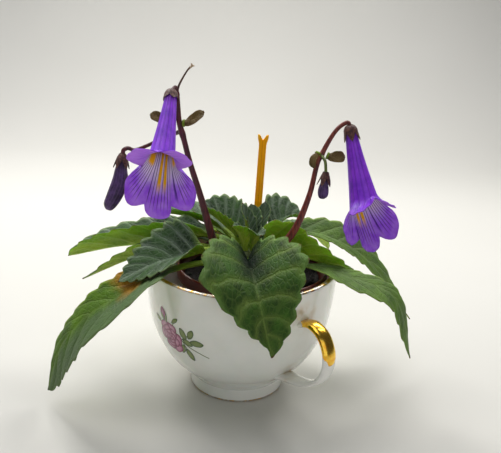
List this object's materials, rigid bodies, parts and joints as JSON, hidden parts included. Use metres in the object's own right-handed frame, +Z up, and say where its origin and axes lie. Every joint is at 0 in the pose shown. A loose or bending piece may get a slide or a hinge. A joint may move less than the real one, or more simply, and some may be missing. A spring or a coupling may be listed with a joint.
{
  "type": "potted diane marie primulina in a porcelain cup",
  "caption": "Rosette plant with toothed leaves and nodding violet bell flowers, grown in a small round nursery pot that stands in a porcelain cup with an ear handle.",
  "frame": {"origin": "centre of the cup's foot on the table", "axes": "+Z up, +X from the cup's axis towards its handle, +Y to the left of the handle seen from above"},
  "size_m": [0.1243, 0.1541, 0.1353],
  "materials": {
    "porcelain": "glossy white glaze with worn gilding on the rim, foot and handle",
    "pot_plastic": "satin dark maroon-brown moulding",
    "soil": "dark damp crumbly potting mix",
    "leaf": "soft matt leaf with a raised net of veins",
    "stem": "finely hairy maroon stalk",
    "bract": "small olive-brown leaf",
    "petal": "soft violet petal with darker veins",
    "sepal": "dark maroon-brown sepal",
    "pistil": "pale smooth style",
    "bud": "dark purple-grey closed petal bag",
    "stake_plastic": "translucent amber-yellow moulding"
  },
  "bodies": {
    "root": {"cup": "porcelain", "nursery_pot": "pot_plastic", "soil": "soil", "crown": "leaf", "stake": "stake_plastic", "leaf_front": "leaf", "leaf_left_silver": "leaf", "leaf_left_long": "leaf", "leaf_left_far": "leaf", "leaf_left_narrow": "leaf", "leaf_right_far": "leaf", "leaf_right_long": "leaf", "leaf_right_near": "leaf", "leaf_back_right": "leaf", "leaf_back_left": "leaf", "leaf_back_left_low": "leaf", "leaf_back": "leaf", "leaf_back_right_low": "leaf", "leaf_back_left_outer": "leaf", "flower_stem_left": "stem", "flower_stem_right": "stem", "bract_left_inner": "bract", "bract_left_outer": "bract", "bract_right_inner": "bract", "bract_right_outer": "bract", "flower_left_corolla": "petal", "flower_left_sepals": "sepal", "flower_left_pistil": "pistil", "flower_right_corolla": "petal", "flower_right_sepals": "sepal", "flower_right_pistil": "pistil", "bud_left": "bud", "bud_left_sepals": "sepal", "bud_right": "bud", "bud_right_sepals": "sepal"}
  },
  "joints": []
}
